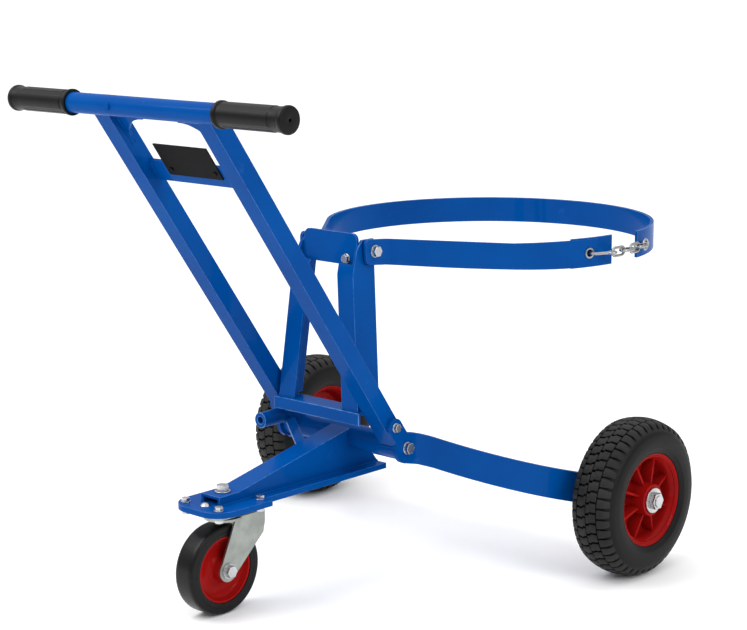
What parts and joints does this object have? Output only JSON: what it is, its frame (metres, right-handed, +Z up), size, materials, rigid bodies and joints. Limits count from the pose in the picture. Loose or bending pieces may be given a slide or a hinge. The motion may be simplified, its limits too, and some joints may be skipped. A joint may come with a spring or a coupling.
{
  "type": "barrel trolley",
  "caption": "Hand trolley for a steel barrel: leaning handle frame, bowed lower arms with large side wheels, swivel castor under a nose plate and a retaining band closed by a chain.",
  "frame": {"origin": "on the floor, under the middle of the bounding box", "axes": "+Z up, +Y from the handle towards the barrel, +X to the right hand of the operator"},
  "size_m": [0.907, 1.1703, 0.8783],
  "materials": {
    "blue_paint": "gloss",
    "red_paint": "gloss",
    "zinc": "satin",
    "bearing_steel": "polished",
    "grip_rubber": "satin",
    "tyre_rubber": "matte",
    "label_black": "matte",
    "bush_brass": "satin"
  },
  "bodies": {
    "trolley": {"handle_tube": "blue_paint", "handle_screw": "blue_paint", "right_grip": "grip_rubber", "left_grip": "grip_rubber", "right_leg": "blue_paint", "left_leg": "blue_paint", "right_gusset": "blue_paint", "left_gusset": "blue_paint", "cross_plate": "blue_paint", "label_plate": "label_black", "label_rivets": "label_black", "pivot_tube": "blue_paint", "cross_angle": "blue_paint", "right_band": "blue_paint", "left_band": "blue_paint", "band_tongue": "blue_paint", "right_upright": "blue_paint", "left_upright": "blue_paint", "right_packer": "blue_paint", "left_packer": "blue_paint", "lug_bolts": "zinc", "head_plate": "blue_paint", "head_bolt": "zinc", "pin_socket": "blue_paint", "base_plate": "blue_paint", "tip_bolt": "zinc", "castor_arm": "blue_paint", "socket_brace": "blue_paint", "right_lower_arm": "blue_paint", "left_lower_arm": "blue_paint", "lower_arm_bolts": "zinc", "lower_cross_bar": "blue_paint", "right_axle": "zinc", "left_axle": "zinc", "axle_spacers": "zinc", "axle_nuts": "zinc", "castor_plate": "zinc", "castor_bolts": "zinc", "upper_race": "zinc", "kingpin": "zinc", "kingpin_nut": "zinc", "chain_eye": "zinc", "hook_seat_ring": "zinc"},
    "right_wheel": {"right_tyre": "tyre_rubber", "right_rim": "red_paint", "right_bearings": "bearing_steel"},
    "left_wheel": {"left_tyre": "tyre_rubber", "left_rim": "red_paint", "left_bearings": "bearing_steel"},
    "castor_swivel": {"swivel_balls": "bearing_steel", "castor_fork": "zinc", "castor_axle": "zinc", "castor_axle_nut": "zinc"},
    "castor_wheel": {"castor_rim": "red_paint", "castor_tyre": "tyre_rubber", "castor_bush": "bush_brass"},
    "chain_1": {"chain_pair_1": "zinc"},
    "chain_2": {"chain_pair_2": "zinc"},
    "hook": {"chain_hook": "zinc"}
  },
  "joints": [
    {"name": "right_wheel_spin", "type": "hinge", "parent": "trolley", "child": "right_wheel", "pos_m": [0, 0.19965, 0.141], "axis": [1, 0, 0], "continuous": true},
    {"name": "left_wheel_spin", "type": "hinge", "parent": "trolley", "child": "left_wheel", "pos_m": [0, 0.19965, 0.141], "axis": [1, 0, 0], "continuous": true},
    {"name": "castor_swivel_turn", "type": "hinge", "parent": "trolley", "child": "castor_swivel", "pos_m": [0, -0.41735, 0.1654], "axis": [0, 0, 1], "continuous": true},
    {"name": "castor_wheel_spin", "type": "hinge", "parent": "castor_swivel", "child": "castor_wheel", "pos_m": [0, -0.43335, 0.0775], "axis": [1, 0, 0], "continuous": true},
    {"name": "chain_at_eye", "type": "hinge", "parent": "trolley", "child": "chain_1", "pos_m": [0.31586, 0.33173, 0.566], "axis": [0, 0, 1], "range_deg": [0, 80]},
    {"name": "chain_after_pair_1", "type": "hinge", "parent": "chain_1", "child": "chain_2", "pos_m": [0.32426, 0.2797, 0.566], "axis": [0, 0, 1], "range_deg": [0, 80]},
    {"name": "hook_on_chain", "type": "hinge", "parent": "chain_2", "child": "hook", "pos_m": [0.32407, 0.22734, 0.566], "axis": [0, 0, 1], "range_deg": [0, 80]}
  ]
}
